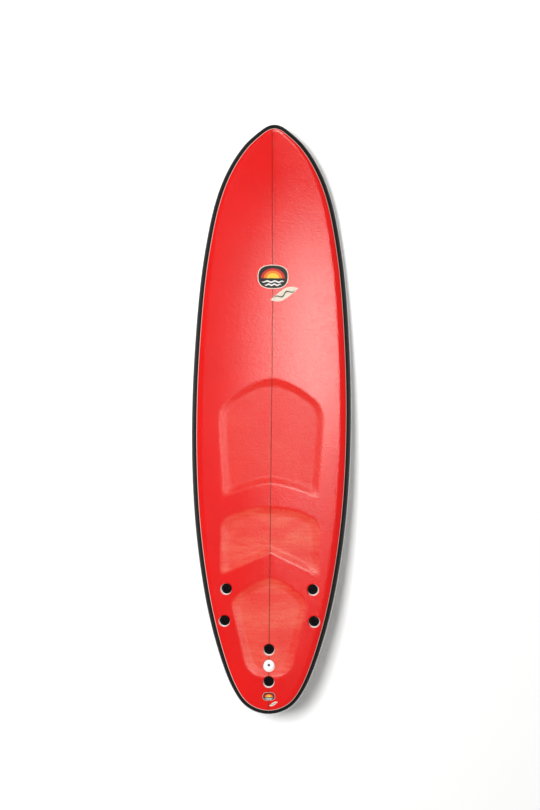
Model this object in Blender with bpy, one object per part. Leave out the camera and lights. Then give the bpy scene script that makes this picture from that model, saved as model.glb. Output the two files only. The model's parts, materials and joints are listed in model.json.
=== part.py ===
# Foam-top surfboard with three bolt-on fins, lying deck up at rest on its belly and side fin tips.
# Board axes: x to the board's right, y towards the nose, z up from the flat of the bottom.
# Every piece hangs on the empty "board_axes", which carries the board's pitch and place on the floor.

import math

import bmesh
import bpy
from mathutils import Matrix, Vector

# Overall shape
LENGTH = 2.134
HALF_LENGTH = LENGTH / 2
TEMPLATE = (  # distance from the nose, half width of the board
    (0.018, 0.0465),
    (0.072, 0.1095),
    (0.202, 0.1893),
    (0.456, 0.2525),
    (0.745, 0.2815),
    (1.035, 0.2920),
    (1.433, 0.2763),
    (1.723, 0.2335),
    (1.940, 0.1743),
    (2.049, 0.1275),
    (2.116, 0.0675),
)
MIDDLE_THICKNESS = 0.083
NOSE_THICKNESS = 0.042
TAIL_THICKNESS = 0.038
THICKNESS_POWER = 2.2
NOSE_ROCKER = 0.125
TAIL_ROCKER = 0.048
NOSE_ROCKER_POWER = 2.5
TAIL_ROCKER_POWER = 2.2
FLAT_HALF_LENGTH = 0.150
SPINE_SHARE = 0.86  # the ribs of the shape fan out from a spine this share of the length
APEX_SHARE = 0.42  # height of the rail's widest line, as a share of the thickness
CROWN_SHARE = 0.25  # share of the upper height that is the deck's crown
DECK_RAIL_WIDTH = 0.045
TIP_DECK_RAIL_WIDTH = 0.030
BOTTOM_RAIL_WIDTH = 0.055
END_BLEND_POWER = 6  # how late a width changes from its side value to its tip value

# Skins, bands and core
GAP = 0.0003
CLEARANCE = 0.00045  # round a fastening in its bore
DECK_SKIN = 0.006
BOTTOM_SKIN = 0.003
LIP_WIDTH = 0.0022  # how far the bottom skin's lip shows in plan
BAND_WIDTH_SIDE = 0.0160
BAND_WIDTH_NOSE = 0.0140
BAND_WIDTH_TAIL = 0.0115
STRINGER_THICKNESS = 0.005
STRINGER_SPACING = 0.075
CENTRE_STRINGER_END = -0.800

# Sunk zones of the deck: depth at the sides and at the middle, and the width of the sloping wall.
# A zone's top and bottom edges drop towards its sides, and its sides taper away from their widest place.
ZONE_SIDE_DEPTH = 0.0024
ZONE_MIDDLE_DEPTH = 0.0045
ZONE_HALF_WIDTH = 0.196
ZONE_WALL = 0.036
ZONE_CORNER = 0.030
CHEST_ZONE = {
    "top": 0.146, "top_drop": 0.112, "top_power": 1.75,
    "bottom": -0.245, "bottom_drop": 0.062, "bottom_power": 1.5,
    "half_width": 0.196, "widest": -0.020, "nose_taper": 0.064, "tail_taper": 0.064,
}
KNEE_ZONE = {
    "top": -0.320, "top_drop": 0.055, "top_power": 2.4,
    "bottom": -0.494, "bottom_drop": 0.086, "bottom_power": 1.0,
    "half_width": 0.184, "widest": -0.430, "nose_taper": 0.0, "tail_taper": 0.0,
}
TAIL_ZONE = {
    "top": -0.572, "top_drop": 0.088, "top_power": 1.5,
    "bottom": -0.939, "bottom_drop": -0.073, "bottom_power": 2.0,
    "half_width": 0.142, "widest": -0.672, "nose_taper": 0.0, "tail_taper": 0.245,
}

# Fins and their fastenings
BOLT_SPACING = 0.114
SIDE_FRONT_BOLT = (0.1550, 0.448 - HALF_LENGTH)
SIDE_REAR_BOLT = (0.1605, 0.448 - BOLT_SPACING - HALF_LENGTH)
CENTRE_FRONT_BOLT = (0.0, 0.233 - HALF_LENGTH)
CENTRE_REAR_BOLT = (0.0, 0.233 - BOLT_SPACING - HALF_LENGTH)
LEASH_PLACE = (0.0, 0.176 - HALF_LENGTH)
PLUG_RADIUS = 0.018
PLUG_CROWN = 0.0010
SEAT_DEPTH = 0.004  # how far a plug's flange sits below the top of the core
PLUG_TUBE_RADIUS = 0.007
PLUG_BORE_RADIUS = 0.0033
PLUG_DOME = ((0.66, 1.0), (0.92, 0.3), (1.0, -1.0))  # shares of the radius and of the crown
PLUG_RECESS_RIM_SHARE = 0.9
HEAD_RECESS_RADIUS = 0.008
HEAD_RECESS_DEPTH = 0.0038
SCREW_HEAD_RADIUS = 0.006
SCREW_SHANK_RADIUS = 0.0027
SCREW_SOCKET_RADIUS = 0.0022
SCREW_SOCKET_FLOOR = 0.0012  # heights above the underside of the head
SCREW_SOCKET_RIM = 0.0030
SCREW_HEAD_EDGE = 0.0020
SCREW_HEAD_TOP = (0.85, 0.0029)  # share of the head's radius, height
INSERT_RADIUS = 0.0042
INSERT_BORE_RADIUS = 0.0030
INSERT_LENGTH = 0.010
POST_HEIGHT = 0.014
POST_HOLE_RADIUS = 0.0045
POST_HOLE_DEPTH = 0.012
FIN_DEPTH = 0.115
FIN_CANT = math.radians(5.0)
FIN_ROOT_THICKNESS = 0.009
FIN_TIP_THICKNESS = 0.004
FLANGE_LENGTH = 0.150
FLANGE_WIDTH = 0.030
FLANGE_THICKNESS = 0.0035
FLANGE_EDGE = 0.0018
FLANGE_STATIONS = (-1.0, -0.96, -0.86, -0.45, 0.0, 0.45, 0.86, 0.96, 1.0)
FLANGE_CROWN_SHARE = 0.45
FLANGE_END_SHARE = 0.02  # the least squared share of the width left at the flange's ends
BLADE_LEAD = 0.062  # the blade's leading edge at the root, ahead of the middle between the bolts
BLADE_TRAIL = -0.062
BLADE_SWEEP = 0.138
BLADE_SWEEP_POWER = 1.6
BLADE_HOLLOW = 0.016
BLADE_TRAIL_SWEEP = 0.026
BLADE_EDGE = 0.0008  # half the thickness of the blade's edges
BLADE_FULLNESS = 1.6
BLADE_TRAIL_POWER = 0.7
BLADE_DEPTH_SHARES = (0.0, 0.2, 0.42, 0.64, 0.84, 1.0)
BLADE_SECTION = (0.0, 0.10, 0.35, 0.70, 1.0)
LEASH_DISC_RADIUS = 0.019
LEASH_BORE_RADIUS = 0.0045
LEASH_TUBE_RADIUS = 0.0075
LEASH_SOCKET_RADIUS = 0.0105
LEASH_TUBE_LENGTH = 0.030
LEASH_SOCKET_LENGTH = 0.028
LEASH_MOUTH_SHARE = 1.25  # the rounded mouth's radius, as a share of the bore's
LEASH_LAND_SHARE = 0.90  # the flat land's radius, as a share of the disc's

# Fineness
TIP_ROWS = 5
MIDDLE_ROWS = 22
TIP_ROW_START = 0.900  # the even rows run between this distance ahead of and behind the middle
DECK_COLUMNS = (0.0, 0.14, 0.30, 0.50, 0.75, 1.0)
TUCK_ANGLES = (0.0, 45.0, 90.0)
ROUND_SIDES = 12
SCREW_SIDES = 8
MERGE_DISTANCE = 1e-6
SEARCH_STEPS = 40
SHARP_ANGLE = math.radians(35.0)

# Reach of the cutting tools, well beyond the board
TOOL_LOW = -0.1
TOOL_HIGH = 0.3
TOOL_SIDE = 0.4
TOOL_END = 1.1

# Rest: the belly lies ahead of this place and the fins behind it
BELLY_END = -0.45
LARGEST_PITCH = math.radians(12.0)

MATERIALS = {  # colour, roughness, metallic
    "deck_foam": ((0.80, 0.016, 0.012), 0.50, 0.0),
    "rail_foam": ((0.020, 0.021, 0.023), 0.45, 0.0),
    "bottom_slick": ((0.90, 0.90, 0.89), 0.25, 0.0),
    "core_foam": ((0.93, 0.93, 0.91), 0.85, 0.0),
    "stringer_wood": ((0.55, 0.36, 0.18), 0.60, 0.0),
    "plug_plastic": ((0.025, 0.026, 0.028), 0.38, 0.0),
    "leash_plastic": ((0.86, 0.86, 0.84), 0.35, 0.0),
    "fin_plastic": ((0.022, 0.022, 0.024), 0.42, 0.0),
    "screw_steel": ((0.08, 0.08, 0.09), 0.36, 1.0),
    "insert_brass": ((0.71, 0.50, 0.20), 0.32, 1.0),
}


def clear_scene():
    for item in list(bpy.data.objects):
        bpy.data.objects.remove(item, do_unlink=True)


def smooth(share):
    share = min(max(share, 0.0), 1.0)
    return share * share * (3.0 - 2.0 * share)


# The outline: half width = factor x sine of the station angle, so both ends come out round.

def station_angle(y):
    return math.acos(min(max(y / HALF_LENGTH, -1.0), 1.0))


def template_factors():
    knots = []
    for from_nose, half_width in TEMPLATE:
        angle = station_angle(HALF_LENGTH - from_nose)
        knots.append((angle, half_width / math.sin(angle)))
    return [(0.0, knots[0][1])] + knots + [(math.pi, knots[-1][1])]


FACTORS = template_factors()


def knot_slope(index):
    low = max(index - 1, 0)
    high = min(index + 1, len(FACTORS) - 1)
    return (FACTORS[high][1] - FACTORS[low][1]) / (FACTORS[high][0] - FACTORS[low][0])


def half_width(angle):
    index = 0
    while index < len(FACTORS) - 2 and angle > FACTORS[index + 1][0]:
        index += 1
    start, end = FACTORS[index], FACTORS[index + 1]
    run = end[0] - start[0]
    t = (angle - start[0]) / run
    factor = (
        (2 * t ** 3 - 3 * t ** 2 + 1) * start[1]
        + (t ** 3 - 2 * t ** 2 + t) * run * knot_slope(index)
        + (3 * t ** 2 - 2 * t ** 3) * end[1]
        + (t ** 3 - t ** 2) * run * knot_slope(index + 1)
    )
    return factor * math.sin(angle)


def rocker(y):
    run = max(abs(y) - FLAT_HALF_LENGTH, 0.0) / (HALF_LENGTH - FLAT_HALF_LENGTH)
    if y > 0:
        return NOSE_ROCKER * run ** NOSE_ROCKER_POWER
    return TAIL_ROCKER * run ** TAIL_ROCKER_POWER


def thickness(y):
    tip = NOSE_THICKNESS if y > 0 else TAIL_THICKNESS
    share = min(abs(y) / HALF_LENGTH, 1.0) ** THICKNESS_POWER
    return MIDDLE_THICKNESS - (MIDDLE_THICKNESS - tip) * share


def end_blend(y, nose, side, tail):
    share = (abs(y) / HALF_LENGTH) ** END_BLEND_POWER
    end = nose if y > 0 else tail
    return side + (end - side) * min(share, 1.0)


def soft_least(first, second):
    """The smaller of two distances, eased where they meet so that a zone's corner is round."""
    ease = max(ZONE_CORNER - abs(first - second), 0.0) / ZONE_CORNER
    return min(first, second) - ease * ease * ZONE_CORNER / 4


def inside_zone(zone, x, y):
    """How far a point lies inside a zone's edges; it is negative outside."""
    share = abs(x) / zone["half_width"]
    top = zone["top"] - zone["top_drop"] * share ** zone["top_power"] - y
    bottom = y - zone["bottom"] + zone["bottom_drop"] * share ** zone["bottom_power"]
    ahead = y - zone["widest"]
    taper = zone["nose_taper"] * max(ahead, 0.0) + zone["tail_taper"] * max(-ahead, 0.0)
    side = zone["half_width"] - taper - abs(x)
    return soft_least(soft_least(top, bottom), side)


def sunk_depth(x, y):
    inside = max(inside_zone(zone, x, y) for zone in (CHEST_ZONE, KNEE_ZONE, TAIL_ZONE))
    middle = max(1.0 - (x / ZONE_HALF_WIDTH) ** 2, 0.0)
    full = ZONE_SIDE_DEPTH + (ZONE_MIDDLE_DEPTH - ZONE_SIDE_DEPTH) * middle
    return full * smooth(inside / ZONE_WALL)


# Ribs: each runs in plan from the spine to a point of the outline.

def make_rib(angle):
    edge_y = HALF_LENGTH * math.cos(angle)
    spine_y = SPINE_SHARE * edge_y
    edge_x = half_width(angle)
    return {
        "edge_x": edge_x,
        "edge_y": edge_y,
        "spine_y": spine_y,
        "run": math.hypot(edge_x, edge_y - spine_y),
    }


def place_on_rib(rib, out, height, sunk):
    share = out / rib["run"]
    x = rib["edge_x"] * share
    y = rib["spine_y"] + (rib["edge_y"] - rib["spine_y"]) * share
    drop = sunk_depth(x, y) if sunk else 0.0
    return Vector((x, y, rocker(y) + height - drop))


def deck_point(rib, from_edge, inset):
    """Deck height = apex + rail quarter ellipse + crown x (1 - share squared), moved inwards."""
    out = rib["run"] - from_edge
    share = out / rib["run"]
    y = rib["spine_y"] + (rib["edge_y"] - rib["spine_y"]) * share
    apex = APEX_SHARE * thickness(y)
    upper = thickness(y) - apex
    width = end_blend(y, TIP_DECK_RAIL_WIDTH, DECK_RAIL_WIDTH, TIP_DECK_RAIL_WIDTH)
    across = max(1.0 - from_edge / width, 0.0)
    along = math.sqrt(1.0 - across * across)
    height = apex + upper * ((1.0 - CROWN_SHARE) * along + CROWN_SHARE * (1.0 - share * share))
    crown_slope = 2.0 * CROWN_SHARE * upper * share / rib["run"]
    normal = Vector(((1.0 - CROWN_SHARE) * upper / width * across + crown_slope * along, along))
    normal.normalize()
    return place_on_rib(rib, out - inset * normal.x, height - inset * normal.y, True)


def bottom_point(rib, angle, inset):
    """Tucked rail = quarter ellipse from the apex (0 degrees) to the flat bottom (90 degrees)."""
    turn = math.radians(angle)
    apex = APEX_SHARE * thickness(rib["edge_y"])
    out = rib["run"] - BOTTOM_RAIL_WIDTH * (1.0 - math.cos(turn))
    height = apex * (1.0 - math.sin(turn))
    normal = Vector((math.cos(turn) / BOTTOM_RAIL_WIDTH, -math.sin(turn) / apex))
    normal.normalize()
    return place_on_rib(rib, out - inset * normal.x, height - inset * normal.y, False)


def bottom_middle(rib, inset):
    return place_on_rib(rib, 0.0, inset, False)


def deck_edge(rib):
    band = end_blend(rib["edge_y"], BAND_WIDTH_NOSE, BAND_WIDTH_SIDE, BAND_WIDTH_TAIL)
    return LIP_WIDTH + GAP + band


def deck_distances(rib, start):
    return [start + (rib["run"] - start) * share for share in DECK_COLUMNS]


def all_ribs():
    tip_angle = station_angle(TIP_ROW_START)
    angles = [tip_angle * row / TIP_ROWS for row in range(TIP_ROWS)]
    step = 2 * TIP_ROW_START / MIDDLE_ROWS
    angles += [station_angle(TIP_ROW_START - step * row) for row in range(MIDDLE_ROWS + 1)]
    angles += [math.pi - tip_angle * row / TIP_ROWS for row in range(TIP_ROWS - 1, -1, -1)]
    return [make_rib(angle) for angle in angles]


RIBS = all_ribs()


# Mesh helpers

def add_object(name, mesh):
    item = bpy.data.objects.new(name, mesh)
    bpy.context.scene.collection.objects.link(item)
    return item


def inwards(near, far):
    return (round(abs(near.co.x) + abs(far.co.x), 6), near.co.z + far.co.z)


def mesh_from_rows(name, rows, capped):
    """Closed loops of points, bridged row to row; the end rows are capped or fold shut.

    Each diagonal runs inwards on the row nearer the board's end, so a skin and what it covers
    bend alike, and no triangle of a folded end row lies flat on its twin.
    """
    grid = bmesh.new()
    loops = [[grid.verts.new(point) for point in row] for row in rows]
    for near, far in zip(loops, loops[1:]):
        towards_nose = near[0].co.y + far[0].co.y > 0
        for index in range(len(near)):
            after = (index + 1) % len(near)
            index_is_inner = inwards(near[index], far[index]) < inwards(near[after], far[after])
            if index_is_inner == towards_nose:
                grid.faces.new((near[index], near[after], far[after]))
                grid.faces.new((near[index], far[after], far[index]))
            else:
                grid.faces.new((near[index], near[after], far[index]))
                grid.faces.new((near[after], far[after], far[index]))
    if capped:
        grid.faces.new(list(reversed(loops[0])))
        grid.faces.new(loops[-1])
    bmesh.ops.remove_doubles(grid, verts=grid.verts, dist=MERGE_DISTANCE)
    bmesh.ops.dissolve_degenerate(grid, edges=grid.edges, dist=MERGE_DISTANCE)
    loose = [edge for edge in grid.edges if not edge.link_faces]
    bmesh.ops.delete(grid, geom=loose, context='EDGES')
    bmesh.ops.recalc_face_normals(grid, faces=grid.faces)
    mesh = bpy.data.meshes.new(name)
    grid.to_mesh(mesh)
    grid.free()
    return add_object(name, mesh)


def mirrored_loop(upper, lower):
    """Right-hand points from the middle out, then the left-hand copies, as one closed loop."""
    left_upper = [Vector((-point.x, point.y, point.z)) for point in reversed(upper[1:])]
    left_lower = [Vector((-point.x, point.y, point.z)) for point in lower[:-1]]
    return left_upper + upper + lower + list(reversed(left_lower))


def turned(name, profile, sides, place):
    """A closed outline of (radius, height) pairs turned round a vertical axis."""
    rows = []
    for side in range(sides + 1):
        turn = 2 * math.pi * (side + 0.5) / sides
        rows.append([
            Vector((place[0] + radius * math.cos(turn), place[1] + radius * math.sin(turn), height))
            for radius, height in profile
        ])
    return mesh_from_rows(name, rows, False)


def cylinder(place, radius, low, high):
    profile = ((0.0, low), (radius, low), (radius, high), (0.0, high))
    return turned("tool", profile, ROUND_SIDES, place)


def box(name, low, high):
    grid = bmesh.new()
    bmesh.ops.create_cube(grid, size=1.0)
    middle = (Vector(low) + Vector(high)) / 2
    size = Vector(high) - Vector(low)
    bmesh.ops.transform(grid, matrix=Matrix.Translation(middle) @ Matrix.Diagonal(size).to_4x4(),
                        verts=grid.verts)
    mesh = bpy.data.meshes.new(name)
    grid.to_mesh(mesh)
    grid.free()
    return add_object(name, mesh)


def combine(target, tool, operation):
    modifier = target.modifiers.new("combine", 'BOOLEAN')
    modifier.operation = operation
    modifier.solver = 'EXACT'
    modifier.object = tool
    graph = bpy.context.evaluated_depsgraph_get()
    mesh = bpy.data.meshes.new_from_object(target.evaluated_get(graph))
    target.modifiers.clear()
    target.data = mesh
    bpy.data.objects.remove(tool, do_unlink=True)


def copy_of(source, name):
    return add_object(name, source.data.copy())


def mirrored(source, name):
    mesh = source.data.copy()
    mesh.transform(Matrix.Diagonal((-1.0, 1.0, 1.0, 1.0)))
    mesh.flip_normals()
    return add_object(name, mesh)


def joined(tools):
    """One tool made of several bodies that stay clear of each other."""
    grid = bmesh.new()
    for tool in tools:
        grid.from_mesh(tool.data)
        bpy.data.objects.remove(tool, do_unlink=True)
    mesh = bpy.data.meshes.new("tool")
    grid.to_mesh(mesh)
    grid.free()
    return add_object("tool", mesh)


# Skins, bands, stringers and core blanks

def make_deck_skin():
    rows = []
    for rib in RIBS:
        distances = deck_distances(rib, deck_edge(rib) + GAP)
        upper = [deck_point(rib, distance, 0.0) for distance in reversed(distances)]
        lower = [deck_point(rib, distance, DECK_SKIN) for distance in distances]
        rows.append(mirrored_loop(upper, lower))
    return mesh_from_rows("deck_skin", rows, False)


def make_rail_band(name, side):
    rows = []
    for rib in RIBS:
        inner = deck_edge(rib)
        outer = LIP_WIDTH + GAP
        distances = (inner, (inner + outer) / 2, outer)
        loop = [deck_point(rib, distance, 0.0) for distance in distances]
        loop += [deck_point(rib, distance, DECK_SKIN) for distance in reversed(distances)]
        for point in loop:
            point.x = side * max(point.x, GAP / 2)
        rows.append(loop)
    return mesh_from_rows(name, rows, True)


def make_bottom_skin():
    rows = []
    for rib in RIBS:
        outside = [bottom_point(rib, angle, 0.0) for angle in TUCK_ANGLES] + [bottom_middle(rib, 0.0)]
        inside = [bottom_point(rib, angle, BOTTOM_SKIN) for angle in TUCK_ANGLES]
        inside.append(bottom_middle(rib, BOTTOM_SKIN))
        upper = list(reversed(inside)) + [deck_point(rib, LIP_WIDTH, BOTTOM_SKIN)]
        lower = [deck_point(rib, LIP_WIDTH, 0.0)] + outside
        rows.append(mirrored_loop(upper, lower))
    return mesh_from_rows("bottom_skin", rows, False)


def make_core_master():
    rows = []
    deck_inset = DECK_SKIN + GAP
    bottom_inset = BOTTOM_SKIN + GAP
    butt = LIP_WIDTH + GAP / 2
    for rib in RIBS:
        band_inner = deck_edge(rib)
        distances = [butt, (band_inner + LIP_WIDTH + GAP) / 2]
        distances += deck_distances(rib, band_inner + GAP)
        upper = [deck_point(rib, distance, deck_inset) for distance in reversed(distances)]
        lower = [deck_point(rib, butt, bottom_inset)]
        lower += [bottom_point(rib, angle, bottom_inset) for angle in TUCK_ANGLES]
        lower.append(bottom_middle(rib, bottom_inset))
        rows.append(mirrored_loop(upper, lower))
    return mesh_from_rows("core_master", rows, False)


def slab(low_x, high_x):
    return box("tool", (low_x, -TOOL_END, TOOL_LOW), (high_x, TOOL_END, TOOL_HIGH))


def make_stringers(master):
    half = STRINGER_THICKNESS / 2
    stringers = []
    for name, middle in (("left", -STRINGER_SPACING), ("centre", 0.0), ("right", STRINGER_SPACING)):
        stringer = copy_of(master, "stringer_" + name)
        low_y = CENTRE_STRINGER_END if name == "centre" else -TOOL_END
        tool = box("tool", (middle - half, low_y, TOOL_LOW), (middle + half, TOOL_END, TOOL_HIGH))
        combine(stringer, tool, 'INTERSECT')
        stringers.append(stringer)
    return stringers


def make_core_blanks(master):
    """Four blanks between the stringers, each bored for the fastenings that pass through it."""
    slot = STRINGER_THICKNESS / 2 + GAP
    outer = copy_of(master, "core_outer_left")
    combine(outer, slab(-TOOL_SIDE, -STRINGER_SPACING - slot), 'INTERSECT')
    places = bolt_places()
    bores = [core_bore(places["left_front"]), core_bore(places["left_rear"])]
    combine(outer, joined(bores), 'DIFFERENCE')
    inner = copy_of(master, "core_inner_left")
    combine(inner, slab(slot - STRINGER_SPACING, -GAP / 2), 'INTERSECT')
    bores = [core_bore(CENTRE_FRONT_BOLT), core_bore(CENTRE_REAR_BOLT), leash_bore()]
    bores.append(box("tool", (-slot, CENTRE_STRINGER_END - GAP, TOOL_LOW), (slot, TOOL_END, TOOL_HIGH)))
    combine(inner, joined(bores), 'DIFFERENCE')
    return [outer, inner, mirrored(outer, "core_outer_right"), mirrored(inner, "core_inner_right")]


def deck_height(x, y):
    """Deck height straight above a point, on the rib that passes over it."""
    nose_side, tail_side = 0.0, math.pi
    for step in range(SEARCH_STEPS):
        angle = (nose_side + tail_side) / 2
        rib = make_rib(angle)
        rib_length_y = rib["edge_y"] - rib["spine_y"]
        if rib["edge_x"] * (y - rib["spine_y"]) > rib_length_y * abs(x):
            tail_side = angle
        else:
            nose_side = angle
    covered = rib["edge_x"] * abs(x) + rib_length_y * (y - rib["spine_y"])
    return deck_point(rib, rib["run"] - covered / rib["run"], 0.0).z


# Fastenings

def bolt_places():
    places = {}
    for name, side in (("left", -1), ("right", 1)):
        places[name + "_front"] = (side * SIDE_FRONT_BOLT[0], SIDE_FRONT_BOLT[1])
        places[name + "_rear"] = (side * SIDE_REAR_BOLT[0], SIDE_REAR_BOLT[1])
    places["centre_front"] = CENTRE_FRONT_BOLT
    places["centre_rear"] = CENTRE_REAR_BOLT
    return places


def seat_height(place):
    return deck_height(*place) - DECK_SKIN - GAP - SEAT_DEPTH


def leash_base_height():
    """The base's flange is level, so it stands on the highest point of the bottom under it."""
    return rocker(LEASH_PLACE[1] - LEASH_DISC_RADIUS) + GAP


def make_deck_plug(name, place):
    top = deck_height(*place)
    seat = seat_height(place) + GAP
    foot = rocker(place[1]) + POST_HEIGHT + 2 * GAP
    profile = (
        (PLUG_BORE_RADIUS, foot),
        (PLUG_BORE_RADIUS, top - HEAD_RECESS_DEPTH),
        (HEAD_RECESS_RADIUS, top - HEAD_RECESS_DEPTH),
        (HEAD_RECESS_RADIUS, top + PLUG_CROWN * PLUG_RECESS_RIM_SHARE),
        *((PLUG_RADIUS * out, top + PLUG_CROWN * rise) for out, rise in PLUG_DOME),
        (PLUG_RADIUS, seat),
        (PLUG_TUBE_RADIUS, seat),
        (PLUG_TUBE_RADIUS, foot),
    )
    return turned("deck_plug_" + name, profile, ROUND_SIDES, place)


def make_fin_screw(name, place):
    under_head = deck_height(*place) - HEAD_RECESS_DEPTH + GAP
    foot = rocker(place[1]) + POST_HEIGHT - INSERT_LENGTH
    profile = (
        (0.0, under_head + SCREW_SOCKET_FLOOR),
        (SCREW_SOCKET_RADIUS, under_head + SCREW_SOCKET_FLOOR),
        (SCREW_SOCKET_RADIUS, under_head + SCREW_SOCKET_RIM),
        (SCREW_HEAD_RADIUS * SCREW_HEAD_TOP[0], under_head + SCREW_HEAD_TOP[1]),
        (SCREW_HEAD_RADIUS, under_head + SCREW_HEAD_EDGE),
        (SCREW_HEAD_RADIUS, under_head),
        (SCREW_SHANK_RADIUS, under_head),
        (SCREW_SHANK_RADIUS, foot),
        (0.0, foot),
    )
    return turned("fin_screw_" + name, profile, SCREW_SIDES, place)


def make_fin_insert(name, place):
    high = rocker(place[1]) + POST_HEIGHT
    low = high - INSERT_LENGTH
    profile = (
        (INSERT_BORE_RADIUS, low),
        (INSERT_BORE_RADIUS, high),
        (INSERT_RADIUS, high),
        (INSERT_RADIUS, low),
    )
    return turned("fin_insert_" + name, profile, SCREW_SIDES, place)


def make_leash_plug():
    top = deck_height(*LEASH_PLACE)
    seat = seat_height(LEASH_PLACE) + GAP
    foot = top - LEASH_TUBE_LENGTH
    upper = turned("leash_plug_top", (
        (LEASH_BORE_RADIUS, foot),
        (LEASH_BORE_RADIUS, top + PLUG_CROWN * 0.2),
        (LEASH_BORE_RADIUS * LEASH_MOUTH_SHARE, top + PLUG_CROWN),
        (LEASH_DISC_RADIUS * LEASH_LAND_SHARE, top + PLUG_CROWN),
        (LEASH_DISC_RADIUS, top - PLUG_CROWN * 0.5),
        (LEASH_DISC_RADIUS, seat),
        (LEASH_TUBE_RADIUS, seat),
        (LEASH_TUBE_RADIUS, foot),
    ), ROUND_SIDES, LEASH_PLACE)
    low = leash_base_height()
    flange = low + BOTTOM_SKIN + GAP
    lower = turned("leash_plug_base", (
        (LEASH_TUBE_RADIUS + GAP, low),
        (LEASH_TUBE_RADIUS + GAP, low + LEASH_SOCKET_LENGTH),
        (LEASH_SOCKET_RADIUS, low + LEASH_SOCKET_LENGTH),
        (LEASH_SOCKET_RADIUS, flange),
        (LEASH_DISC_RADIUS, flange),
        (LEASH_DISC_RADIUS, low),
    ), ROUND_SIDES, LEASH_PLACE)
    return upper, lower


# Fins

def fin_frame(front, rear):
    """Middle of the two bolts and the unit direction from the rear bolt to the front one."""
    front, rear = Vector(front), Vector(rear)
    return (front + rear) / 2, (front - rear).normalized()


def fin_flange(front, rear, root):
    middle, forward = fin_frame(front, rear)
    outward = Vector((forward.y, -forward.x))
    half_length, half_span = FLANGE_LENGTH / 2, FLANGE_WIDTH / 2
    outline = (
        (-1, 0),
        (1, 0),
        (1, FLANGE_EDGE),
        (FLANGE_CROWN_SHARE, FLANGE_THICKNESS),
        (-FLANGE_CROWN_SHARE, FLANGE_THICKNESS),
        (-1, FLANGE_EDGE),
    )
    rows = []
    for share in FLANGE_STATIONS:
        into_end = max(abs(share) * half_length - (half_length - half_span), 0.0) / half_span
        span = half_span * math.sqrt(max(1.0 - into_end ** 2, FLANGE_END_SHARE))
        loop = []
        for across, depth in outline:
            spot = middle + forward * (share * half_length) + outward * (across * span)
            loop.append(Vector((spot.x, spot.y, rocker(spot.y) - root - depth)))
        rows.append(loop)
    return mesh_from_rows("flange", rows, True)


def blade_edges(depth_share):
    """Leading and trailing edge at a share of the depth, from the middle between the bolts."""
    lead = BLADE_LEAD - BLADE_SWEEP * depth_share ** BLADE_SWEEP_POWER
    trail = BLADE_TRAIL + BLADE_HOLLOW * math.sin(math.pi * depth_share)
    return lead, trail - BLADE_TRAIL_SWEEP * depth_share ** 2


def blade_half_offsets(depth_share):
    """Half thickness along the section, round at the leading edge and fine at the trailing edge."""
    half_thick = (FIN_ROOT_THICKNESS + (FIN_TIP_THICKNESS - FIN_ROOT_THICKNESS) * depth_share) / 2
    offsets = []
    for share in BLADE_SECTION:
        body = BLADE_FULLNESS * math.sqrt(share) * (1.0 - share) ** BLADE_TRAIL_POWER
        offsets.append((share, half_thick * body + BLADE_EDGE))
    return offsets


def fin_blade(front, rear, root, cant):
    middle, forward = fin_frame(front, rear)
    outward = Vector((forward.y, -forward.x))
    slope = (rocker(front[1]) - rocker(rear[1])) / (front[1] - rear[1])
    base = (rocker(front[1]) + rocker(rear[1])) / 2 - root - FLANGE_THICKNESS / 2
    rows = []
    for depth_share in BLADE_DEPTH_SHARES:
        lead, trail = blade_edges(depth_share)
        depth = FIN_DEPTH * depth_share
        offsets = blade_half_offsets(depth_share)
        loop = []
        for share, offset in offsets + [(share, -offset) for share, offset in reversed(offsets)]:
            along = lead + (trail - lead) * share
            spot = middle + forward * along + outward * (offset + math.tan(cant) * depth)
            loop.append(Vector((spot.x, spot.y, base + slope * (spot.y - middle.y) - depth)))
        rows.append(loop)
    return mesh_from_rows("blade", rows, True)


def make_fin(name, front, rear, cant):
    fin = fin_flange(front, rear, GAP)
    fin.name = name
    combine(fin, fin_blade(front, rear, GAP, cant), 'UNION')
    posts = []
    for place in (front, rear):
        low = rocker(place[1]) - GAP - FLANGE_THICKNESS / 2
        top = rocker(place[1]) + POST_HEIGHT
        posts.append(turned("tool", (
            (0.0, low),
            (PLUG_TUBE_RADIUS, low),
            (PLUG_TUBE_RADIUS, top),
            (POST_HOLE_RADIUS, top),
            (POST_HOLE_RADIUS, top - POST_HOLE_DEPTH),
            (0.0, top - POST_HOLE_DEPTH),
        ), ROUND_SIDES, place))
    combine(fin, joined(posts), 'UNION')
    return fin


# Bores for the fastenings

def core_bore(place):
    seat = seat_height(place)
    radius = PLUG_TUBE_RADIUS + CLEARANCE
    wide = PLUG_RADIUS + CLEARANCE
    profile = (
        (0.0, TOOL_LOW),
        (radius, TOOL_LOW),
        (radius, seat),
        (wide, seat),
        (wide, TOOL_HIGH),
        (0.0, TOOL_HIGH),
    )
    return turned("tool", profile, ROUND_SIDES, place)


def leash_bore():
    seat = seat_height(LEASH_PLACE)
    flange = leash_base_height() + BOTTOM_SKIN + 3 * GAP
    radius = LEASH_SOCKET_RADIUS + CLEARANCE
    wide = LEASH_DISC_RADIUS + CLEARANCE
    profile = (
        (0.0, TOOL_LOW),
        (wide, TOOL_LOW),
        (wide, flange),
        (radius, flange),
        (radius, seat),
        (wide, seat),
        (wide, TOOL_HIGH),
        (0.0, TOOL_HIGH),
    )
    return turned("tool", profile, ROUND_SIDES, LEASH_PLACE)


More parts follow.
